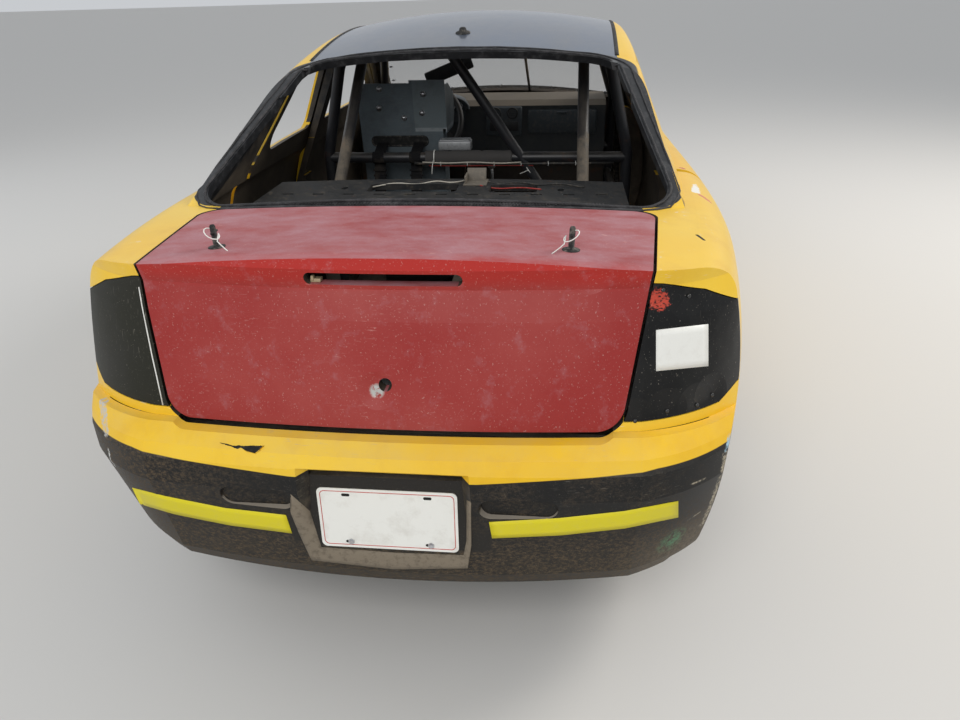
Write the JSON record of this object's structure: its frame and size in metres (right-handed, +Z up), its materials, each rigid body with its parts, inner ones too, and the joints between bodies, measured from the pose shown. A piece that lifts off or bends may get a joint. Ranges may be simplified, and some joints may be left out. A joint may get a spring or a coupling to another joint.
{
  "type": "stock car",
  "caption": "Four-door saloon prepared for oval racing: hollow steel shell, roll cage, race seat, opening doors, bonnet and boot lid, steered front wheels.",
  "frame": {"origin": "on the ground, below the centre of the car's bounding box", "axes": "+X towards the front of the car, +Y to its left, +Z up"},
  "size_m": [4.5802, 1.729, 1.4087],
  "materials": {
    "body_yellow": "satin, faded",
    "body_black": "gloss, dusty",
    "lid_red": "matt, faded",
    "bare_metal": "brushed",
    "cage_paint": "satin",
    "structure_paint": "matt primer, dusty",
    "cover_black": "gloss sheet",
    "bumper_plastic": "painted, scuffed",
    "tyre_rubber": "matt",
    "rim_paint": "satin",
    "steel_dark": "worn",
    "dash_plastic": "faded",
    "clear_sheet": "clear plastic sheet",
    "plate_white": "gloss",
    "grip_black": "soft"
  },
  "bodies": {
    "body_shell": {"roof_panel": "body_black", "tulip_panel": "body_yellow", "firewall": "structure_paint", "front_panel": "body_yellow", "floor_pan": "structure_paint", "front_structure": "structure_paint", "front_subframe": "steel_dark", "rear_axle": "steel_dark", "main_hoop": "cage_paint", "front_cage": "cage_paint", "package_shelf": "structure_paint", "seat": "bare_metal", "dashboard": "dash_plastic", "steering_column": "steel_dark", "windscreen": "clear_sheet", "engine": "steel_dark", "exhaust": "steel_dark", "fuel_cell": "bare_metal", "rear_bumper": "bumper_plastic", "front_bumper": "bumper_plastic", "licence_plate": "plate_white", "roof_rail_left": "body_yellow", "quarter_left": "body_yellow", "rear_lamp_cover_left": "cover_black", "front_lamp_cover_left": "cover_black", "fender_left": "body_yellow", "sill_left": "body_yellow", "roof_rail_right": "body_yellow", "quarter_right": "body_yellow", "rear_lamp_cover_right": "cover_black", "front_lamp_cover_right": "cover_black", "fender_right": "body_yellow", "sill_right": "body_yellow"},
    "bonnet": {"hood": "body_yellow"},
    "boot_lid": {"trunk_lid": "lid_red"},
    "steering_wheel": {"steering_wheel": "grip_black"},
    "door_front_left": {"door_front_left": "body_yellow"},
    "door_rear_left": {"door_rear_left": "body_yellow"},
    "upright_left": {"strut_left": "steel_dark"},
    "wheel_front_left": {"tyre_front_left": "tyre_rubber", "rim_front_left": "rim_paint"},
    "wheel_rear_left": {"tyre_rear_left": "tyre_rubber", "rim_rear_left": "rim_paint"},
    "door_front_right": {"door_front_right": "body_yellow"},
    "door_rear_right": {"door_rear_right": "body_yellow"},
    "upright_right": {"strut_right": "steel_dark"},
    "wheel_front_right": {"tyre_front_right": "tyre_rubber", "rim_front_right": "rim_paint"},
    "wheel_rear_right": {"tyre_rear_right": "tyre_rubber", "rim_rear_right": "rim_paint"}
  },
  "joints": [
    {"name": "door_front_left_hinge", "type": "hinge", "parent": "body_shell", "child": "door_front_left", "pos_m": [0.754, 0.866, 0.56], "axis": [0, 0.165, -0.9863], "range_deg": [0, 65]},
    {"name": "door_rear_left_hinge", "type": "hinge", "parent": "body_shell", "child": "door_rear_left", "pos_m": [-0.342, 0.866, 0.56], "axis": [0, 0.165, -0.9863], "range_deg": [0, 65]},
    {"name": "door_front_right_hinge", "type": "hinge", "parent": "body_shell", "child": "door_front_right", "pos_m": [0.754, -0.866, 0.56], "axis": [0, 0.165, 0.9863], "range_deg": [0, 65]},
    {"name": "door_rear_right_hinge", "type": "hinge", "parent": "body_shell", "child": "door_rear_right", "pos_m": [-0.342, -0.866, 0.56], "axis": [0, 0.165, 0.9863], "range_deg": [0, 65]},
    {"name": "hood_hinge", "type": "hinge", "parent": "body_shell", "child": "bonnet", "pos_m": [1.012, 0, 0.984], "axis": [0, -1, 0], "range_deg": [0, 60]},
    {"name": "trunk_lid_hinge", "type": "hinge", "parent": "body_shell", "child": "boot_lid", "pos_m": [-1.655, 0, 1.014], "axis": [0, 1, 0], "range_deg": [0, 75]},
    {"name": "steer_left", "type": "hinge", "parent": "body_shell", "child": "upright_left", "pos_m": [1.367, 0.69, 0.225], "axis": [0, -0.1929, 0.9812], "range_deg": [-30, 30]},
    {"name": "wheel_front_left_spin", "type": "hinge", "parent": "upright_left", "child": "wheel_front_left", "pos_m": [1.367, 0.735, 0.315], "axis": [0, 1, 0], "continuous": true},
    {"name": "wheel_rear_left_spin", "type": "hinge", "parent": "body_shell", "child": "wheel_rear_left", "pos_m": [-1.257, 0.735, 0.315], "axis": [0, 1, 0], "continuous": true},
    {"name": "steer_right", "type": "hinge", "parent": "body_shell", "child": "upright_right", "pos_m": [1.367, -0.69, 0.225], "axis": [0, 0.1929, 0.9812], "range_deg": [-30, 30]},
    {"name": "wheel_front_right_spin", "type": "hinge", "parent": "upright_right", "child": "wheel_front_right", "pos_m": [1.367, -0.735, 0.315], "axis": [0, 1, 0], "continuous": true},
    {"name": "wheel_rear_right_spin", "type": "hinge", "parent": "body_shell", "child": "wheel_rear_right", "pos_m": [-1.257, -0.735, 0.315], "axis": [0, 1, 0], "continuous": true},
    {"name": "steering_wheel_turn", "type": "hinge", "parent": "body_shell", "child": "steering_wheel", "pos_m": [0.265, 0.33, 0.905], "axis": [-0.9135, 0, 0.4067], "range_deg": [-480, 480]}
  ],
  "couplings": [
    {"joint": "steer_right", "follows": "steer_left", "ratio": 1},
    {"joint": "steering_wheel_turn", "follows": "steer_left", "ratio": 15}
  ]
}
